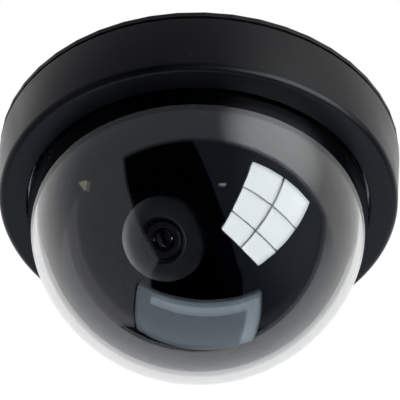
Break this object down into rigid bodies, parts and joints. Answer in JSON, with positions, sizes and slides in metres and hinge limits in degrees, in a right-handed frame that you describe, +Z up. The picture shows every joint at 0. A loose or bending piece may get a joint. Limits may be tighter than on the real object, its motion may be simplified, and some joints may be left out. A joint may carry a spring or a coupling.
{
  "type": "dome security camera",
  "caption": "Ceiling-mounted dome camera: drum cover, clear dome, slotted liner and a lens module that pans, tilts and focuses.",
  "frame": {"origin": "centre of the mounting plate's face that meets the ceiling", "axes": "+Z up into the ceiling, the camera hangs towards -Z, the lens looks along -Y and down at pan 0"},
  "size_m": [0.12, 0.12, 0.073],
  "materials": {
    "cover_plastic": "black, fine satin texture",
    "clear_plastic": "clear polished acrylic",
    "liner_plastic": "black, smooth satin",
    "inner_plastic": "black moulded",
    "bezel_plastic": "black, glossy",
    "spring_steel": "bright spring steel",
    "screw_steel": "zinc plated",
    "rubber": "black, matte",
    "circuit_board": "green solder mask",
    "chip": "black epoxy",
    "connector": "ivory nylon",
    "brass": "turned",
    "barrel_metal": "black anodised",
    "lens_glass": "coated optical glass"
  },
  "bodies": {
    "base": {"mounting_plate": "cover_plastic", "rim_seal": "rubber", "cable_grommet": "rubber", "cover_clip_1": "spring_steel", "cover_clip_2": "spring_steel", "cover_clip_3": "spring_steel", "clip_screw_1": "screw_steel", "clip_screw_2": "screw_steel", "clip_screw_3": "screw_steel", "pedestal": "inner_plastic", "pedestal_screw_1": "screw_steel", "pedestal_screw_2": "screw_steel", "pedestal_screw_3": "screw_steel", "pan_washer": "spring_steel", "pan_nut": "inner_plastic", "main_board": "circuit_board", "board_standoff_1": "brass", "board_standoff_2": "brass", "board_standoff_3": "brass", "board_screw_1": "screw_steel", "board_screw_2": "screw_steel", "board_screw_3": "screw_steel", "video_connector": "connector", "power_connector": "connector", "image_processor": "chip", "filter_capacitor": "barrel_metal"},
    "cover": {"cover_ring": "cover_plastic", "dome_gasket": "rubber", "clear_dome": "clear_plastic", "retaining_ring": "inner_plastic", "retaining_screw_1": "screw_steel", "retaining_screw_2": "screw_steel", "retaining_screw_3": "screw_steel", "retaining_screw_4": "screw_steel"},
    "pan_head": {"turntable": "inner_plastic", "liner": "liner_plastic", "liner_screw_1": "screw_steel", "liner_screw_2": "screw_steel", "liner_screw_3": "screw_steel", "yoke_arm_right": "inner_plastic", "yoke_arm_left": "inner_plastic", "yoke_screw_right": "screw_steel", "yoke_screw_left": "screw_steel"},
    "camera": {"camera_body": "inner_plastic", "rear_cover": "inner_plastic", "rear_cover_screw_1": "screw_steel", "rear_cover_screw_2": "screw_steel", "front_bezel": "bezel_plastic", "lens_holder": "inner_plastic", "sensor_board": "circuit_board", "image_sensor": "chip", "tilt_washer_right": "spring_steel", "tilt_washer_left": "spring_steel", "tilt_screw_right": "screw_steel", "tilt_screw_left": "screw_steel"},
    "lens": {"lens_barrel": "barrel_metal", "front_lens": "lens_glass", "lens_retainer": "bezel_plastic", "rear_lens": "lens_glass"}
  },
  "joints": [
    {"name": "cover_pull", "type": "slide", "parent": "base", "child": "cover", "axis": [0, 0, -1], "range_m": [0, 0.06]},
    {"name": "pan", "type": "hinge", "parent": "base", "child": "pan_head", "pos_m": [0, 0, 0], "axis": [0, 0, 1], "range_deg": [-165, 165]},
    {"name": "tilt", "type": "hinge", "parent": "pan_head", "child": "camera", "pos_m": [0, 0, -0.023], "axis": [1, 0, 0], "range_deg": [-28.7, 39.7]},
    {"name": "focus", "type": "hinge", "parent": "camera", "child": "lens", "pos_m": [0, 0, -0.023], "axis": [0, -0.6388, -0.7694], "range_deg": [-90, 90]}
  ]
}
